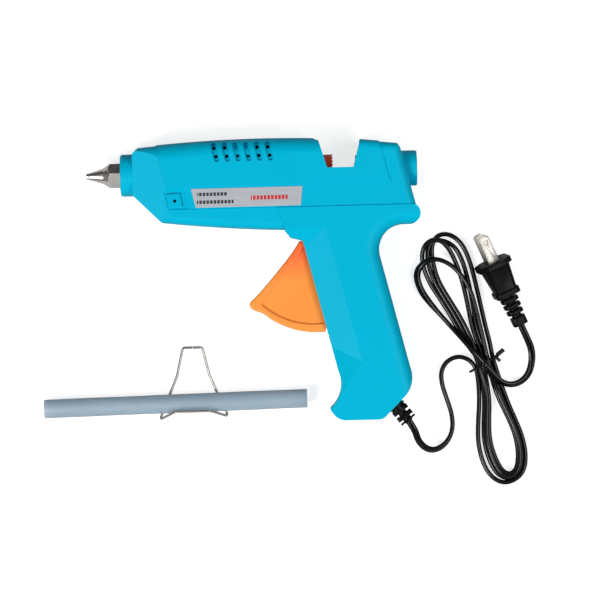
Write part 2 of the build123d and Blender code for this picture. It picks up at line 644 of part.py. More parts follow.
with BuildPart() as hank:
    with BuildSketch(Plane((TIP_X, AXIS_Y, 0.2))):
        with BuildLine():
            Spline(*hank_outside, periodic=True)
        make_face()
        for eye in (hank_low_eye, hank_high_eye):
            with BuildLine():
                Spline(*eye, periodic=True)
            make_face(mode=Mode.SUBTRACT)
    extrude(amount=HANK_HIGH)

TIE_MIDDLE = (232.2, -116.0)
tie_place = Location(Plane(bench(*TIE_MIDDLE, 5.6), x_dir=(0.848, 0.53, 0), z_dir=(0, 0, 1)))
tie = tie_place * (Box(21.0, 1.5, 11.0) - Box(18.0, 2.0, 8.0))
save(tie, "twist_tie")


def on_plug(solid):
    return plug_place * solid


def plug_slab(start, length, wide, high, corner):
    """Rounded slab square to the plug's axis."""
    with BuildPart() as slab:
        with BuildSketch(Plane((start, 0, 0), x_dir=(0, 1, 0), z_dir=(1, 0, 0))):
            RectangleRounded(wide, high, corner)
        extrude(amount=length)
    return slab.part


FLANGE = (20.4, 24.0)
with BuildPart() as flange:
    with BuildSketch(Plane((0, 0, 0), x_dir=(0, 1, 0), z_dir=(1, 0, 0))) as outline:
        Rectangle(*FLANGE)
        chamfer(outline.vertices(), 5.0)
    extrude(amount=3.5)
with BuildPart() as grip_body:
    with BuildSketch(Plane((3.4, 0, 0), x_dir=(0, 1, 0), z_dir=(1, 0, 0))):
        RectangleRounded(15.6, 20.0, 2.5)
    with BuildSketch(Plane((18.6, 0, 0), x_dir=(0, 1, 0), z_dir=(1, 0, 0))):
        RectangleRounded(12.6, 16.4, 2.5)
    loft()
plug = flange.part + grip_body.part + plug_slab(18.5, 3.6, 15.0, 17.6, 3.0)
plug = plug + plug_slab(22.0, PLUG_LONG - 22.2, 5.8, 5.8, 2.6)
for n in range(3):
    plug = plug + plug_slab(24.0 + n * 3.9, 2.4, 10.6 - 0.4 * n, 9.6 - 0.3 * n, 3.0)
plug = plug + plug_slab(PLUG_LONG - 5.4, 5.4, 8.8, 8.2, 2.4)
with BuildPart() as blade_pair:
    for height in (-6.35, 6.35):
        with BuildSketch(Plane((0, 0, height - 0.76))):
            with BuildLine():
                Polyline((3.0, -3.175), (-15.9, -3.175), (-17.2, -1.6), (-17.2, 1.6), (-15.9, 3.175), (3.0, 3.175),
                         close=True)
            make_face()
            with Locations((-12.8, 0)):
                Circle(1.5, mode=Mode.SUBTRACT)
        extrude(amount=1.52)
plug = on_plug(plug) - on_plug(blade_pair.part) - tail
blades = on_plug(blade_pair.part)
save(plug, "plug_body")
save(blades, "plug_blades")
hank_solid = hank.part - tie - lead - tail - on_plug(plug_slab(-0.5, 5.0, FLANGE[0] + 1, FLANGE[1] + 1, 3.0))
save(lead - tie, "cord_lead")
save(tail - tie, "cord_tail")
save(hank_solid, "cord_hank")

# ---- wire stand lying flat, with a stick across it --------------------------------------
WIRE_R = 0.75
WIRE_Z = 0.76
BAR_Z = 15.0
stand_route = [bench(59.25, -102.4, WIRE_Z), bench(53.6, -102.4, WIRE_Z), bench(49.6, -119.5, WIRE_Z),
               bench(38.9, -144.6, WIRE_Z), bench(48.6, -139.8, BAR_Z), bench(69.4, -139.8, BAR_Z),
               bench(79.4, -143.6, WIRE_Z), bench(69.1, -119.5, WIRE_Z), bench(65.0, -102.4, WIRE_Z),
               bench(59.55, -102.4, WIRE_Z)]
save(tube(stand_route, WIRE_R, sizes=[1.6, 8.0, 1.5, 3.0, 3.0, 1.5, 8.0, 1.6], names="wire_stand"), "wire_stand")

STICK_Z = 2 * WIRE_R + 0.3 + STICK_R
stick_start = bench(-29.0, -136.3, STICK_Z)
stick_run = bench(126.5, -134.0, STICK_Z) - stick_start
with BuildPart() as stick:
    with BuildSketch(Plane(stick_start, x_dir=(0, 0, 1), z_dir=stick_run)):
        Circle(STICK_R)
    extrude(amount=stick_run.length)
    fillet(stick.edges(), 0.25)
save(stick.part, "glue_stick")
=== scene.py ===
# %% [markdown]
# # A hot-melt glue gun, laid on a bench
# The gun, its mains lead, its wire stand and a spare stick are made of 36 machined or moulded
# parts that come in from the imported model. They could all be remodelled here, but their sizes and
# joints are already right, so they stay. This lesson gives them their finishes, and it models
# what a solid modeller is poor at: the lead in its tied turns, the twist tie and the cast stick.

# %% Load the fixed frame
import bmesh
import bpy
import math
from mathutils import Matrix, Vector


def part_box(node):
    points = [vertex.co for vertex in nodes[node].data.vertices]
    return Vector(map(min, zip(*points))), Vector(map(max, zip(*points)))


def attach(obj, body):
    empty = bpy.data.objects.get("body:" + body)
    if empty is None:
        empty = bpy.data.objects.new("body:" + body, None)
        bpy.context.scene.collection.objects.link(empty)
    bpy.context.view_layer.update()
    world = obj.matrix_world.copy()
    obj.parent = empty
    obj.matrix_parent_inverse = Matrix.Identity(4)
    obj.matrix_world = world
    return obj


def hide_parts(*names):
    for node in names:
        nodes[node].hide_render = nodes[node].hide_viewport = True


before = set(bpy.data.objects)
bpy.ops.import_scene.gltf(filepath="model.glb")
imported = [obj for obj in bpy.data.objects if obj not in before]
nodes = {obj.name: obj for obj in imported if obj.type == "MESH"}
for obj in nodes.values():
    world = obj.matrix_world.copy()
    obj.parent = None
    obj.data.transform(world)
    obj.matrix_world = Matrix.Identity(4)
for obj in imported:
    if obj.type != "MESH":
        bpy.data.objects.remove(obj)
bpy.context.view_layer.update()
MM = 0.001

# %% [markdown]
# ## Where things are
# The gun is measured along its barrel from the tip of the nozzle, and up from the barrel's axis.
# The tip and the axis can be read from the frame's own boxes, so they aren't typed again.

# %% Places on the gun
TIP_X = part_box("nozzle")[0].x
AXIS_Y = sum(c.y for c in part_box("inlet_sleeve")) / 2


def spot(along, up, high):
    """A point in metres, from millimetres along the barrel, up from its axis, and above the bench."""
    return Vector((TIP_X + along * MM, AXIS_Y + up * MM, high * MM))


print("tip at", round(TIP_X, 4), "axis at", round(AXIS_Y, 4))

# %% [markdown]
# ## Camera
# Things laid on a table for a catalogue are taken from straight above with a long lens, so that
# nothing leans. A lens with a real perspective is kept, but from two and a half metres away.
# The camera is turned a little, because the gun was not laid square to the picture.

# %% Camera
SENSOR = 36.0            # mm
FIELD = 0.354            # what the picture spans at the aim, in metres
DISTANCE = 2.5
TURN = math.radians(-1.545)
aim = spot(123.8, -75.9, 12.0)
eye = bpy.data.cameras.new("camera")
eye.sensor_width = SENSOR
eye.lens = SENSOR * DISTANCE / FIELD
eye.clip_end = 20.0
camera = bpy.data.objects.new("camera", eye)
camera.location = aim + Vector((0, 0, DISTANCE))
camera.rotation_euler = (0, 0, TURN)
bpy.context.scene.collection.objects.link(camera)
bpy.context.scene.camera = camera
print("lens", round(eye.lens, 1), "mm")

# %% [markdown]
# ## The flat twin lead
# A small appliance has a flat lead: two wires side by side in one black sheath, about one and a
# half times as wide as it is thick. It could be swept as a round tube, but the valley between the
# wires catches the light and shows which way the lead is turned. So one smooth curve carries a
# section of two joined circles, and each of its points has a tilt: nothing where the lead lies
# flat, a quarter turn where it stands on edge.

# %% The lead's section
LEAD_WIDE = 4.2 * MM
LOBE_R = 1.35 * MM
LOBE_OUT = LEAD_WIDE / 2 - LOBE_R
LOBE_STEPS = 9


def link(name, data):
    """A new object for this data, in the scene."""
    made = bpy.data.objects.new(name, data)
    bpy.context.scene.collection.objects.link(made)
    return made


def twin_section(name):
    """Two joined circles, as a closed outline for the lead to be swept from."""
    valley = math.acos(LOBE_OUT / LOBE_R)
    outline = []
    for side in (1, -1):
        for n in range(LOBE_STEPS):
            turn = (valley - math.pi) + 2 * (math.pi - valley) * n / (LOBE_STEPS - 1)
            outline.append((side * (LOBE_OUT + LOBE_R * math.cos(turn)), side * LOBE_R * math.sin(turn)))
    data = bpy.data.curves.new(name, "CURVE")
    data.dimensions = "2D"
    line = data.splines.new("POLY")
    line.points.add(len(outline) - 1)
    for point, (x, y) in zip(line.points, outline):
        point.co = (x, y, 0, 1)
    line.use_cyclic_u = True
    made = link(name, data)
    made.hide_render = True
    made.hide_viewport = True
    return made


def lead_along(name, points, section):
    """One smooth lead through a list of (point in metres, tilt in degrees)."""
    data = bpy.data.curves.new(name, "CURVE")
    data.dimensions = "3D"
    data.twist_mode = "Z_UP"
    data.resolution_u = 8
    line = data.splines.new("NURBS")
    line.points.add(len(points) - 1)
    for point, (place, tilt) in zip(line.points, points):
        point.co = (*place, 1)
        point.tilt = math.radians(tilt)
    line.order_u = 3
    line.use_endpoint_u = True
    line.use_smooth = True
    data.bevel_mode = "OBJECT"
    data.bevel_object = section
    data.use_fill_caps = True
    return link(name, data)


# %% [markdown]
# ## The route of the lead
# The lead leaves the handle, drops to the bench, swings round and runs into the tie. From there
# it makes four long turns, through the tie each time, and goes on over the top of the tie to the
# plug. Below the tie the four turns nest inside each other, so their points are worked out
# between the largest and the smallest. Above the tie they fan out, and each has its own points.

# %% Points that the lead passes
FLAT = 0                 # tilt of the lead where it lies flat, degrees
EDGE = 90                # tilt where it stands on edge
ON_EDGE = 2.2            # height of its middle there, just over half its width
TIE = (232.2, -116.0)
TIE_RUN = (0.848, 0.53)
GLAND_PLACE = (178.5, -139.0)
GLAND_HIGH = 18.5
GLAND_TURN = math.radians(-52.0)
GLAND_RUN = (math.cos(GLAND_TURN), math.sin(GLAND_TURN))


def lay(points, tilt=EDGE):
    """Places with a tilt, from (along, up), (along, up, high) or (along, up, high, tilt)."""
    full = [(*p, ON_EDGE) if len(p) == 2 else p for p in points]
    return [(spot(*p[:3]), p[3] if len(p) > 3 else tilt) for p in full]


def in_tie(across, high=ON_EDGE):
    """Where a strand goes through the tie, by its place across the bundle."""
    return lay([(TIE[0] + TIE_RUN[0] * across, TIE[1] + TIE_RUN[1] * across, high)])


def from_gland(out):
    """A point on the line along which the lead leaves the handle."""
    return (GLAND_PLACE[0] + GLAND_RUN[0] * out, GLAND_PLACE[1] + GLAND_RUN[1] * out, GLAND_HIGH)


lead_out = lay([(*from_gland(6.0), FLAT), (*from_gland(17.0), FLAT), (191.4, -161.8, 13.6, 20),
                (198.6, -167.4, 8.8, 40), (206.8, -164.6, 5.2, 65), (212.0, -156.6, 3.0), (212.2, -146.6),
                (209.0, -136.4), (206.4, -128.0), (206.0, -120.4), (209.8, -114.2),
                (216.4, -111.6), (222.8, -113.6, 2.3)])

# the largest and the smallest turn below the tie, point by point
LARGEST = [(228.3, -130.0), (228.3, -140.0), (227.2, -152.0), (226.9, -163.0), (229.0, -174.0),
           (233.4, -183.0), (241.0, -187.9), (249.2, -185.6), (254.3, -179.4), (255.0, -169.5),
           (253.2, -160.0), (249.4, -150.0), (245.6, -141.0), (242.2, -131.0)]
SMALLEST = [(233.4, -130.0), (234.4, -140.0), (233.6, -152.0), (234.0, -163.0), (237.0, -173.0),
            (240.6, -180.0), (244.6, -182.4), (248.2, -180.9), (250.2, -176.0), (250.5, -167.5),
            (248.8, -158.0), (244.8, -148.0), (240.8, -139.5), (237.2, -130.0)]


def lower_turn(inward, high=ON_EDGE):
    """A turn below the tie, between the largest (0) and the smallest (1)."""
    return lay([(a[0] + (b[0] - a[0]) * inward, a[1] + (b[1] - a[1]) * inward, high)
                for a, b in zip(LARGEST, SMALLEST)])


outer_top = lay([(235.6, -104.5), (233.3, -95.0), (230.3, -80.0), (227.3, -65.0),
                 (224.5, -54.0), (220.4, -44.6), (213.6, -39.1), (206.0, -39.4),
                 (202.2, -46.4), (203.2, -57.0), (206.0, -67.0), (211.6, -77.0),
                 (218.2, -88.0), (223.4, -99.0), (227.0, -108.5, 2.3)])
second_top = lay([(231.0, -104.5), (227.6, -94.0), (225.9, -80.0), (223.5, -66.0),
                  (220.6, -55.0), (216.6, -47.0), (210.4, -43.0), (203.4, -42.4),
                  (199.8, -48.0), (200.2, -57.0), (203.4, -67.0), (209.0, -77.0),
                  (215.6, -88.0), (221.0, -99.0, 2.6), (225.6, -108.5, 5.0)])
third_top = lay([(228.4, -104.5, 2.6), (225.0, -94.0), (222.8, -80.0), (219.9, -66.0, 2.4),
                 (216.4, -55.6, 3.6), (212.6, -47.6, 5.8), (207.8, -42.6, 6.4), (201.6, -42.4, 6.4),
                 (197.0, -47.4, 5.8), (196.6, -56.0, 3.2), (200.2, -67.0), (206.4, -77.0),
                 (213.0, -88.0), (218.6, -99.0, 2.8), (224.2, -108.5, 5.6)])
inner_top = lay([(231.8, -104.0, 6.3), (230.2, -96.0, 6.4), (227.6, -84.0, 6.5), (225.2, -74.0, 6.6),
                 (220.6, -64.8, 6.6), (213.4, -57.0, 6.6), (204.6, -53.2, 6.7), (196.8, -55.8, 6.0, 60),
                 (192.7, -62.4, 3.4, 20), (195.2, -71.8, 2.0, 20), (200.4, -79.4, 2.0, 50),
                 (206.6, -86.8, 2.3), (213.2, -94.6, 3.4), (219.6, -102.2, 6.6)])

# the last stretch, over the top of the tie and on to the plug
PLUG_FACE = (237.4, -56.2)
PLUG_RUN = (0.4, -0.9165)
PLUG_PITCH = math.radians(9)
PLUG_LONG = 41.6
PLUG_HIGH = 14.3


def behind_plug(out):
    """A point on the plug's own line, past its back end; the plug leans down towards the lead."""
    level = (PLUG_LONG + out) * math.cos(PLUG_PITCH)
    drop = (PLUG_LONG + out) * math.sin(PLUG_PITCH)
    return (PLUG_FACE[0] + PLUG_RUN[0] * level, PLUG_FACE[1] + PLUG_RUN[1] * level, PLUG_HIGH - drop)


tail_out = lay([(225.6, -109.2, 9.4, 60), (231.6, -116.6, 10.8, 40), (237.0, -123.2, 9.2, 50),
                (242.0, -128.0, 7.4, 60),
                (248.0, -129.6, 5.8, 50), (253.8, -127.6, 4.0, 40), (258.0, -123.2, 2.8, 30),
                (260.2, -116.4, 2.6, 10), (260.1, -108.4, 4.2, FLAT), (*behind_plug(7.0), FLAT),
                (*behind_plug(-1.5), FLAT)])

route = (lead_out
         + in_tie(-5.8) + lower_turn(0.0) + in_tie(5.4) + outer_top
         + in_tie(-3.1) + lower_turn(0.52) + in_tie(2.7) + second_top
         + in_tie(-4.0, 6.3) + lower_turn(0.77, 6.0) + in_tie(0.0, 2.4) + third_top
         + in_tie(-1.2, 6.4) + lower_turn(1.0) + in_tie(2.0, 6.3) + inner_top
         + tail_out)
mains_lead = lead_along("mains_lead", route, twin_section("lead_section"))


def run_length(curve):
    """Length of a curve's own line, with its section left off."""
    plain = curve.copy()
    plain.data = curve.data.copy()
    plain.data.bevel_mode = "ROUND"
    plain.data.bevel_depth = 0.0
    bpy.context.scene.collection.objects.link(plain)
    bpy.context.view_layer.update()
    mesh = bpy.data.meshes.new_from_object(plain.evaluated_get(bpy.context.evaluated_depsgraph_get()))
    ends = [[mesh.vertices[n].co for n in edge.vertices] for edge in mesh.edges]
    total = sum((a - b).length for a, b in ends)
    bpy.data.objects.remove(plain)
    bpy.data.meshes.remove(mesh)
    return total


print("lead", round(run_length(mains_lead), 3), "m along its line")

# %% [markdown]
# ## The twist tie
# A wire in a black plastic coat goes once round the bundle, and its two ends are twisted together
# beside it. A ring would look machined, so the loop is drawn through listed points, and the ends are two
# short helices about one line, worked out by a loop.

# %% Twist tie
TIE_WIRE_R = 0.75 * MM
WIRE_SIDES = 3


def wire_curve(name, points, radius):
    """A round wire along a smooth curve."""
    data = bpy.data.curves.new(name, "CURVE")
    data.dimensions = "3D"
    data.resolution_u = 8
    line = data.splines.new("NURBS")
    line.points.add(len(points) - 1)
    for point, place in zip(line.points, points):
        point.co = (*place, 1)
    line.order_u = 3
    line.use_endpoint_u = True
    data.bevel_depth = radius
    data.bevel_resolution = WIRE_SIDES
    data.use_fill_caps = True
    return link(name, data)


TWIST_FROM = spot(239.6, -111.2, 9.4)
TWIST_TO = spot(242.9, -108.6, 8.6)
TWIST_TURNS = 1.6
TWIST_STEPS = 9
twist_run = TWIST_TO - TWIST_FROM
twist_side = twist_run.cross(Vector((0, 0, 1))).normalized()
twist_up = twist_side.cross(twist_run).normalized()


def twisted(phase):
    """Half of the twisted pair, as points of a helix."""
    points = []
    for n in range(TWIST_STEPS):
        share = n / (TWIST_STEPS - 1)
        angle = phase + share * TWIST_TURNS * 2 * math.pi
        out = twist_side * math.cos(angle) + twist_up * math.sin(angle)
        points.append(TWIST_FROM + twist_run * share + out * TIE_WIRE_R * 1.05)
    return points


over = [spot(*p) for p in (
    (237.6, -112.4, 11.2), (234.8, -114.2, 13.4), (231.2, -116.5, 13.9), (227.6, -118.6, 10.2),
    (224.9, -120.2, 7.0), (222.9, -121.2, 4.2), (224.2, -120.8, 1.4), (228.6, -118.2, 0.7),
    (233.6, -115.2, 0.7), (238.0, -112.6, 0.8), (239.8, -112.8, 3.4), (239.4, -113.0, 6.6))]
tie_loop = wire_curve("twist_tie_wire", list(reversed(twisted(0.0))) + over + twisted(math.pi), TIE_WIRE_R)
tie_end = wire_curve("twist_tie_short_end", [spot(238.4, -112.8, 8.4), spot(239.8, -113.8, 8.6),
                                             spot(240.9, -115.0, 8.0)], TIE_WIRE_R * 1.25)

# %% [markdown]
# ## The stick
# A glue stick is cast in a tube and cut to length: its sides wander by a tenth of a millimetre,
# its cut ends have a soft rim, and it shows no parting line. A plain cylinder is too perfect, so
# a circle is extruded in steps, the rims are rounded, and each ring is made a little smaller by
# its own amount.

# %% Cast stick
stick_low, stick_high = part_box("glue_stick")
STICK_R = (stick_high.z - stick_low.z) / 2
STICK_STEPS = 26
STICK_SIDES = 48
STICK_ROUND = 0.5 * MM
WANDER = 0.012           # share of the radius
WAVES = (95.0, 41.0)     # radians in a metre


def cast_stick():
    """The stick, between the ends of its own box."""
    left = Vector((stick_low.x, stick_low.y + STICK_R, (stick_low.z + stick_high.z) / 2))
    right = Vector((stick_high.x, stick_high.y - STICK_R, left.z))
    run = (right - left).normalized()
    turn = Vector((0, 0, 1)).rotation_difference(run).to_matrix().to_4x4()
    bm = bmesh.new()
    bmesh.ops.create_circle(bm, cap_ends=True, segments=STICK_SIDES, radius=STICK_R)
    long = (right - left).length - 2 * STICK_R * abs(run.y)
    front = bm.faces[:]
    for n in range(STICK_STEPS):
        made = bmesh.ops.extrude_face_region(bm, geom=front)
        ring = [g for g in made["geom"] if isinstance(g, bmesh.types.BMVert)]
        bmesh.ops.translate(bm, verts=ring, vec=(0, 0, long / STICK_STEPS))
        if n:
            bmesh.ops.delete(bm, geom=front, context="FACES_ONLY")
        front = [g for g in made["geom"] if isinstance(g, bmesh.types.BMFace)]
    bmesh.ops.recalc_face_normals(bm, faces=bm.faces[:])
    rims = [e for e in bm.edges if e.calc_face_angle(0) > 1.0]
    bmesh.ops.bevel(bm, geom=rims, offset=STICK_ROUND, segments=4, profile=0.5,
                    affect="EDGES", material=-1)
    for v in bm.verts:
        wave = math.sin(v.co.z * WAVES[0]) * math.cos(v.co.z * WAVES[1] + 1.0)
        shrink = 1 - WANDER * (1 + wave)
        v.co.x *= shrink
        v.co.y *= shrink
    start = left + run * (STICK_R * abs(run.y))
    bmesh.ops.transform(bm, matrix=Matrix.Translation(start) @ turn, verts=bm.verts[:])
    mesh = bpy.data.meshes.new("cast_stick")
    bm.to_mesh(mesh)
    bm.free()
    for face in mesh.polygons:
        face.use_smooth = len(face.vertices) < 12
    return link("cast_stick", mesh)


stick = cast_stick()
print("stick", len(stick.data.polygons), "faces")

# %% [markdown]
# ## Softened edges
# Moulded plastic has no sharp edge. The parts come in as loose triangles with sharp corners, and
# their own meshes must not be changed. So a copy of each small part is welded, its flat faces are
# merged, and its corners are bevelled: the copy is shown in place of the part.


# %% Copies with rounded edges
WELD = 2e-6
FLAT_WITHIN = math.radians(1.0)
CORNER_FROM = math.radians(28)
ROUND_STEPS = 3


def softened(node, width):
    """A welded, bevelled copy of a part, shown in its place."""
    mesh = nodes[node].data.copy()
    bm = bmesh.new()
    bm.from_mesh(mesh)
    bmesh.ops.remove_doubles(bm, verts=bm.verts, dist=WELD)
    bmesh.ops.dissolve_limit(bm, angle_limit=FLAT_WITHIN, verts=bm.verts[:], edges=bm.edges[:])
    bm.to_mesh(mesh)
    bm.free()
    mesh.materials.clear()
    made = link(node + "_moulded", mesh)
    for face in mesh.polygons:
        face.use_smooth = True
    bevel = made.modifiers.new("rounded", "BEVEL")
    bevel.width = width
    bevel.segments = ROUND_STEPS
    bevel.limit_method = "ANGLE"
    bevel.angle_limit = CORNER_FROM
    bevel.harden_normals = True
    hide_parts(node)
    return made


trigger = softened("trigger", 0.5 * MM)
plug = softened("plug_body", 0.45 * MM)
relief = softened("strain_relief", 0.3 * MM)
carriage = softened("feed_carriage", 0.3 * MM)
blades = softened("plug_blades", 0.25 * MM)
print("softened", len(trigger.data.polygons), len(plug.data.polygons), "faces")


# %% [markdown]
# ## Writing shader maths
# Joining Math nodes by hand hides the sum that they make. Python lets a class say what `+` and
# `*` mean, so a small class wraps a socket, and each operator adds the node that does it.


# %% Sockets that can be added and multiplied
class Wire:
    """An output of a shader node that takes part in sums."""

    def __init__(self, finish, socket):
        self.finish = finish
        self.socket = socket

    def math(self, operation, *others, first=None):
        values = [self, *others] if first is None else [first, self]
        return self.finish.node("Math", {"operation": operation}, dict(enumerate(values)))

    def __add__(self, other):
        return self.math("ADD", other)

    def __sub__(self, other):
        return self.math("SUBTRACT", other)

    def __rsub__(self, other):
        return self.math("SUBTRACT", first=other)

    def __mul__(self, other):
        return self.math("MULTIPLY", other)

    def __lt__(self, other):
        return self.math("LESS_THAN", other)

    def __abs__(self):
        return self.math("ABSOLUTE")

    __radd__ = __add__
    __rmul__ = __mul__


class Finish:
    """A material while it is being made."""

    def __init__(self, name, **settings):
        self.material = bpy.data.materials.new(name)
        self.material.use_nodes = True
        self.tree = self.material.node_tree
        self.shader = self.tree.nodes["Principled BSDF"]
        for key, value in settings.items():
            self.shader.inputs[key.replace("_", " ")].default_value = value

    def node(self, kind, settings=(), sockets=(), out=0):
        """Adds a node: its settings first, then values or links for its sockets."""
        made = self.tree.nodes.new("ShaderNode" + kind)
        for name, value in dict(settings).items():
            setattr(made, name, value)
        for key, value in dict(sockets).items():
            if isinstance(value, Wire):
                self.tree.links.new(value.socket, made.inputs[key])
            else:
                made.inputs[key].default_value = value
        return Wire(self, made.outputs[out])

    def into(self, socket, wire):
        """Joins a wire to one of the shader's own sockets."""
        self.tree.links.new(wire.socket, self.shader.inputs[socket])

    def place(self, axis=None):
        """Where a point of the surface is on the object, in metres."""
        whole = self.node("TexCoord", out=3)
        if axis is None:
            return whole
        return self.node("SeparateXYZ", sockets={0: whole}, out="XYZ".index(axis))

    def noise(self, per_metre, detail=2.0, stretch=(1, 1, 1), roughness=0.5):
        """Noise with this many features in a metre, about 0.5."""
        where = self.node("Mapping", sockets={"Vector": self.place(), "Scale": stretch})
        return self.node("TexNoise", sockets={"Vector": where, "Scale": per_metre, "Detail": detail,
                                              "Roughness": roughness})

    def mix(self, share, a, b):
        """Colour a where share is 0 and b where it is 1."""
        made = self.tree.nodes.new("ShaderNodeMix")
        made.data_type = "RGBA"
        for key, value in ((0, share), (6, a), (7, b)):
            if isinstance(value, Wire):
                self.tree.links.new(value.socket, made.inputs[key])
            else:
                made.inputs[key].default_value = value if key == 0 else (*value, 1)
        return Wire(self, made.outputs[2])

    def bump(self, height, depth):
        """Relief of this depth in metres."""
        wire = self.node("Bump", sockets={"Strength": 1.0, "Distance": depth, "Height": height})
        self.into("Normal", wire)

    def band(self, wire, middle, half):
        """1 within half of the middle, else 0."""
        return abs(wire - middle) < half


# %% [markdown]
# ## Housing
# The shells are moulded in cyan plastic with a fine spark-eroded grain, which makes the broad
# faces matt and gives a soft sheen to a facet that faces the light. A smooth plastic would look
# wet. Fine noise drives the relief, and a broader one varies the colour by a few percent.

# %% Cyan moulded plastic
CYAN = (0.0004, 0.455, 0.670)
CYAN_DEEP = (0.0002, 0.425, 0.632)


def spark_plastic(name, colour, deep, roughness, grain=1500, depth=0.035 * MM, shine=0.25, painted_shade=None):
    """Grained plastic.  Its last argument is (from, to, colour): painted shade, a tint that grows between
    two places on Y.
    """
    made = Finish(name, IOR=1.5, Specular_IOR_Level=shine)
    broad = made.noise(38, 3)
    fine = made.noise(grain, 2)
    tone = made.mix(broad, deep, colour)
    if painted_shade:
        share = made.node("MapRange", sockets={"Value": made.place("Y"), "From Min": painted_shade[0],
                                               "From Max": painted_shade[1]})
        tone = made.mix(share, tone, painted_shade[2])
    made.into("Base Color", tone)
    made.into("Roughness", roughness + (fine - 0.5) * 0.22 + (broad - 0.5) * 0.1)
    made.bump(fine, depth)
    return made.material


housing_finish = spark_plastic("cyan_housing", CYAN, CYAN_DEEP, 0.34, depth=0.08 * MM, shine=0.05)


# %% [markdown]
# ## Trigger, carriage and other moulded plastic
# The trigger is polished orange plastic, so its grain is far shallower and its gloss higher. Its colour
# is painted redder near its pivot, as painted shade where the handle shades it. The feed carriage is a
# deeper red-orange. Both take the same recipe with their own numbers.

# %% Orange and red plastic
# painted shade: the trigger's colour turns redder up towards its pivot, where the handle shades it
TRIGGER_PAINTED_SHADE = (spot(0, -66, 0).y, spot(0, -46, 0).y, (1.0, 0.13, 0.03))
trigger_finish = spark_plastic("orange_trigger", (1.0, 0.325, 0.054), (0.98, 0.295, 0.044), 0.34,
                               700, 0.012 * MM, 0.4, TRIGGER_PAINTED_SHADE)
carriage_finish = spark_plastic("red_carriage", (0.62, 0.058, 0.010), (0.52, 0.045, 0.008), 0.38,
                                700, 0.012 * MM)
resin_finish = spark_plastic("dark_resin", (0.02, 0.016, 0.014), (0.014, 0.012, 0.01), 0.5)
clamp_finish = spark_plastic("natural_plastic", (0.60, 0.59, 0.54), (0.52, 0.51, 0.47), 0.42)

# %% [markdown]
# ## Rating label
# The label is a silver film with dark and red print. Words have no place on a shared part, so
# each line is a row of plain dashes. A bar is masked out by how far a point is from its middle,
# and the remainder of the place along the label cuts it into dashes.

# %% Silver label with plain dashes
label_low, label_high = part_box("rating_label")
label_long = label_high.x - label_low.x
label_tall = label_high.y - label_low.y
DASH = 2.1 * MM
DASH_SHARE = 0.72


def bar_on(made, middle, half, up, thick):
    """A bar, by its middle, half length and height as shares of the label, and its half thickness."""
    across = made.band(made.place("X"), label_low.x + label_long * middle, label_long * half)
    return across * made.band(made.place("Y"), label_low.y + label_tall * up, thick)


def label_film():
    made = Finish("silver_label", Metallic=0.25, IOR=1.5)
    brushed = made.noise(900, 2, stretch=(0.05, 1, 1))
    film = made.mix(brushed, (0.42, 0.44, 0.48), (0.52, 0.54, 0.58))
    dash = (made.place("X") * (1 / DASH)).math("FRACT") < DASH_SHARE
    dark = None
    for middle, half, up in ((0.19, 0.135, 0.70), (0.215, 0.165, 0.29)):
        bar = bar_on(made, middle, half, up, 1.0 * MM)
        dark = bar if dark is None else dark + bar
    red = bar_on(made, 0.70, 0.165, 0.46, 1.25 * MM)
    print_film = made.mix(dark * dash, film, (0.03, 0.03, 0.035))
    made.into("Base Color", made.mix(red * dash, print_film, (0.62, 0.02, 0.03)))
    made.into("Roughness", 0.30 + brushed * 0.12)
    return made.material


label_finish = label_film()


# %% [markdown]
# ## Metals
# The nozzle is turned steel with bright nickel plate: rings left by the tool run round it, and
# heat has browned it a little in patches. The stand is drawn wire, and the blades are pressed
# brass with a pale plate. One recipe takes the colour, the roughness and the way the fine lines
# run, as a stretch of the noise.

# %% Plated and drawn metal
def worked_metal(name, colour, tarnish, roughness, stretch, lines=2600, depth=0.004 * MM):
    made = Finish(name, Metallic=1.0)
    cut = made.noise(lines, 2, stretch=stretch)
    cloud = made.noise(150, 3)
    made.into("Base Color", made.mix(cloud * 0.8, colour, tarnish))
    made.into("Roughness", roughness + (cut - 0.5) * 0.16 + (cloud - 0.5) * 0.12)
    made.bump(cut, depth)
    return made.material


nozzle_finish = worked_metal("nickel_nozzle", (0.86, 0.84, 0.82), (0.66, 0.61, 0.56), 0.24,
                             (1, 0.06, 0.06))
wire_finish = worked_metal("plated_wire", (0.52, 0.50, 0.47), (0.32, 0.30, 0.28), 0.34,
                           (0.5, 0.5, 0.5), 900)
blade_finish = worked_metal("plated_blades", (0.56, 0.54, 0.49), (0.44, 0.41, 0.36), 0.46, (0.3, 1, 1))
steel_finish = worked_metal("plain_steel", (0.55, 0.55, 0.56), (0.40, 0.40, 0.41), 0.30, (1, 1, 0.1))
zinc_finish = worked_metal("cast_zinc", (0.56, 0.56, 0.57), (0.44, 0.44, 0.45), 0.46, (1, 1, 1),
                           700, 0.02 * MM)


# %% [markdown]
# ## Black rubbery plastic
# Lead, plug and strain relief are soft black plastic. Its shine is broad and grey, and it keeps
# dust and finger marks, which show as patches of other roughness, not of other colour.

# %% Black lead and plug
def soft_black(name, colour, roughness, grain, depth, shine=0.35):
    made = Finish(name, IOR=1.5, Specular_IOR_Level=shine)
    marks = made.noise(120, 4, roughness=0.6)
    fine = made.noise(grain, 2)
    made.into("Base Color", made.mix(marks, colour, tuple(c * 1.5 for c in colour)))
    made.into("Roughness", roughness + (marks - 0.5) * 0.2 + (fine - 0.5) * 0.1)
    made.bump(fine, depth)
    return made.material


lead_finish = soft_black("black_lead", (0.002, 0.002, 0.0025), 0.22, 900, 0.002 * MM)
plug_finish = soft_black("black_plug", (0.002, 0.002, 0.0025), 0.34, 1500, 0.02 * MM, 0.09)
tie_finish = soft_black("black_tie", (0.003, 0.003, 0.004), 0.22, 900, 0.002 * MM)


# %% [markdown]
# ## Glue
# Hot-melt glue is milky: light goes in, scatters and comes out paler. Clear glass would show the
# bench sharply through it, so a little light passes and the rest scatters under the skin. Faint
# lines run along the stick, as the noise is stretched that way.

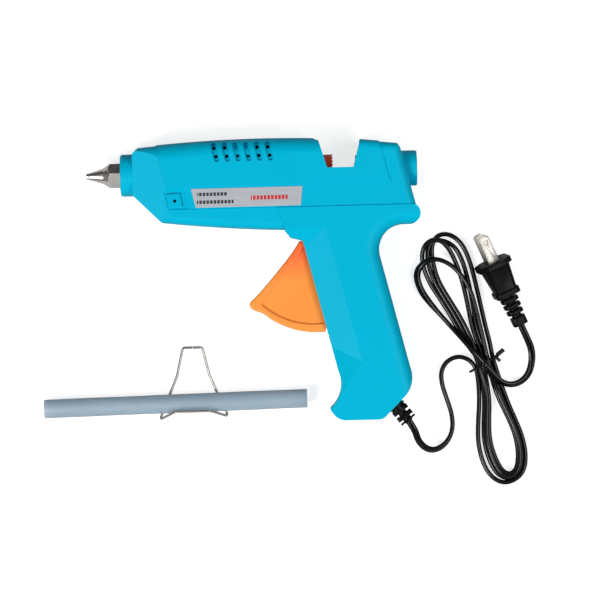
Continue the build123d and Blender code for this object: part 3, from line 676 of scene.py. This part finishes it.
# %% Milky stick
def milky_glue():
    made = Finish("milky_glue", IOR=1.48, Transmission_Weight=0.2, Subsurface_Weight=1.0,
                  Subsurface_Scale=0.012, Subsurface_Radius=(1, 1, 1))
    cloud = made.noise(60, 3, stretch=(0.2, 1, 1))
    drawn = made.noise(700, 2, stretch=(0.02, 1, 1))
    made.into("Base Color", made.mix(cloud, (0.36, 0.46, 0.55), (0.40, 0.51, 0.60)))
    made.into("Roughness", 0.30 + cloud * 0.12)
    made.bump(drawn, 0.02 * MM)
    return made.material


glue_finish = milky_glue()


# %% [markdown]
# ## Inner parts
# What sits inside the housing is seen only when it is taken apart, but it still gets its own
# finish: amber film, brown and blue wires, red silicone, dark ceramic.

# %% Finishes of the inner parts
DEEPER = 0.85


def plain_coat(name, colour, roughness):
    """A nearly smooth coat of one colour."""
    return spark_plastic(name, colour, tuple(c * DEEPER for c in colour), roughness, 500, 0.01 * MM)


ceramic_finish = plain_coat("heater_ceramic", (0.075, 0.065, 0.055), 0.6)
film_finish = plain_coat("amber_film", (0.62, 0.26, 0.03), 0.2)
silicone_finish = plain_coat("red_silicone", (0.62, 0.09, 0.05), 0.45)
live_finish = plain_coat("brown_wire", (0.16, 0.05, 0.015), 0.35)
neutral_finish = plain_coat("blue_wire", (0.02, 0.09, 0.42), 0.35)
electrode_finish = worked_metal("electrode_metal", (0.72, 0.72, 0.73), (0.6, 0.6, 0.62), 0.3,
                                (1, 1, 1))

FINISHES = (
    (housing_finish, ("left_housing", "right_housing")),
    (label_finish, ("rating_label",)),
    (steel_finish, ("housing_screws", "nozzle_ball", "nozzle_spring", "heater_clip", "sleeve_clamp",
                    "gripper_pin", "return_spring", "trigger_pin", "clamp_screws")),
    (nozzle_finish, ("nozzle",)),
    (zinc_finish, ("melt_chamber",)),
    (ceramic_finish, ("ptc_element",)),
    (electrode_finish, ("electrode_plates", "crimp_terminals")),
    (film_finish, ("heater_insulation",)),
    (resin_finish, ("front_ring",)),
    (silicone_finish, ("inlet_sleeve",)),
    (carriage_finish, ("feed_carriage", "stick_gripper")),
    (trigger_finish, ("trigger",)),
    (plug_finish, ("strain_relief", "plug_body")),
    (lead_finish, ("inner_cord", "cord_lead", "cord_tail", "cord_hank")),
    (live_finish, ("live_lead",)),
    (neutral_finish, ("neutral_lead",)),
    (clamp_finish, ("cord_clamp_bar",)),
    (tie_finish, ("twist_tie",)),
    (blade_finish, ("plug_blades",)),
    (wire_finish, ("wire_stand",)),
    (glue_finish, ("glue_stick",)),
)
for finish, made_of_it in FINISHES:
    for node in made_of_it:
        nodes[node].data.materials.clear()
        nodes[node].data.materials.append(finish)
print(sum(len(made_of_it) for _, made_of_it in FINISHES), "parts finished")

# %% [markdown]
# ## Putting the new pieces on their bodies
# Each new piece moves with the body of the part that it stands for, and takes that part's finish.

# %% Bodies, slots and finishes
for piece, body, slot, finish in (
        (mains_lead, "gun", "cord_rubber", lead_finish),
        (tie_loop, "gun", "tie_plastic", tie_finish),
        (tie_end, "gun", "tie_plastic", tie_finish),
        (stick, "stick", "glue", glue_finish),
        (trigger, "trigger", "trigger_plastic", trigger_finish),
        (plug, "gun", "plug_plastic", plug_finish),
        (relief, "gun", "cord_rubber", plug_finish),
        (carriage, "carriage", "carriage_plastic", carriage_finish),
        (blades, "gun", "blade_metal", blade_finish)):
    piece.data.materials.append(finish)
    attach(piece, body)
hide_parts("cord_lead", "cord_hank", "cord_tail")
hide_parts("twist_tie")
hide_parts("glue_stick")
tuple(spot(*from_gland(6.0)))

# %% [markdown]
# ## Bench and light
# Catalogue pictures have a plain white ground with hardly a shadow. The bench glows, but only for
# the camera: it would wash out the black lead and the metals if they mirrored it. The sky is dim,
# and dark on the far side, so that the chrome has something dark to mirror. One large lamp from the
# lower left gives the barrel its bright flank and its darker top.

# %% White bench
BENCH_SIZE = 6.0
GLOW = 0.75
bm = bmesh.new()
bmesh.ops.create_grid(bm, x_segments=1, y_segments=1, size=BENCH_SIZE / 2)
bench_mesh = bpy.data.meshes.new("bench")
bm.to_mesh(bench_mesh)
bm.free()
bench = link("bench", bench_mesh)
bench_finish = Finish("white_bench", Roughness=0.8, Base_Color=(0.5, 0.5, 0.5, 1),
                      Emission_Color=(1, 1, 1, 1))
seen = bench_finish.node("LightPath", out="Is Camera Ray")
bench_finish.into("Emission Strength", seen * GLOW)
bench.data.materials.append(bench_finish.material)

# two black cards inside the shells, as painted shade, so that the vents and the stand's hole look into the
# dark
SHADE_CARD_HIGH = 10
shade_card_mesh = bpy.data.meshes.new("painted_shade_cards")
SHADE_CARDS = ((70, 116, 8.6, 15.4), (49, 55, -19, -13.5))
corners = [spot(along, up, SHADE_CARD_HIGH) for left, right, low, high in SHADE_CARDS
           for along, up in ((left, low), (right, low), (right, high), (left, high))]
shade_card_mesh.from_pydata(corners, [], [(0, 1, 2, 3), (4, 5, 6, 7)])
shade_cards = link("painted_shade_cards", shade_card_mesh)
shade_cards.data.materials.append(Finish("painted_shade_card", Roughness=0.9, Base_Color=(0.01, 0.01, 0.01, 1)).material)


# %% Lamps and sky
def lamp(name, place, size, watts):
    """A square lamp that looks at the middle of the picture."""
    light = bpy.data.lights.new(name, "AREA")
    light.size = size
    light.energy = watts
    made = link(name, light)
    made.location = aim + Vector(place)
    made.rotation_euler = (-Vector(place)).to_track_quat("-Z", "Y").to_euler()
    return made


lamp("key_lamp", (-1.05, -0.8, 1.7), 0.7, 33)
lamp("fill_lamp", (1.2, -0.2, 1.8), 1.1, 20)

sky = bpy.data.worlds.new("studio")
bpy.context.scene.world = sky
sky.use_nodes = True
sky_tree = sky.node_tree
where = sky_tree.nodes.new("ShaderNodeTexCoord")
up = sky_tree.nodes.new("ShaderNodeSeparateXYZ")
sky_tree.links.new(where.outputs["Generated"], up.inputs[0])


def sky_ramp(axis, start, end, first, last):
    """Grey of the sky along an axis, from `first` at `start` to `last` at `end`."""
    made = sky_tree.nodes.new("ShaderNodeMapRange")
    sky_tree.links.new(up.outputs[axis], made.inputs["Value"])
    for name, value in (("From Min", start), ("From Max", end), ("To Min", first), ("To Max", last)):
        made.inputs[name].default_value = value
    return made.outputs[0]


product = sky_tree.nodes.new("ShaderNodeMath")
product.operation = "MULTIPLY"
sky_tree.links.new(sky_ramp("Z", 0.1, 0.75, 0.30, 1.0), product.inputs[0])
sky_tree.links.new(sky_ramp("Y", 0.15, 0.6, 1.0, 0.3), product.inputs[1])
sky_tree.links.new(product.outputs[0], sky_tree.nodes["Background"].inputs["Color"])
sky_tree.nodes["Background"].inputs["Strength"].default_value = 0.3
bpy.context.scene.view_settings.view_transform = "Standard"
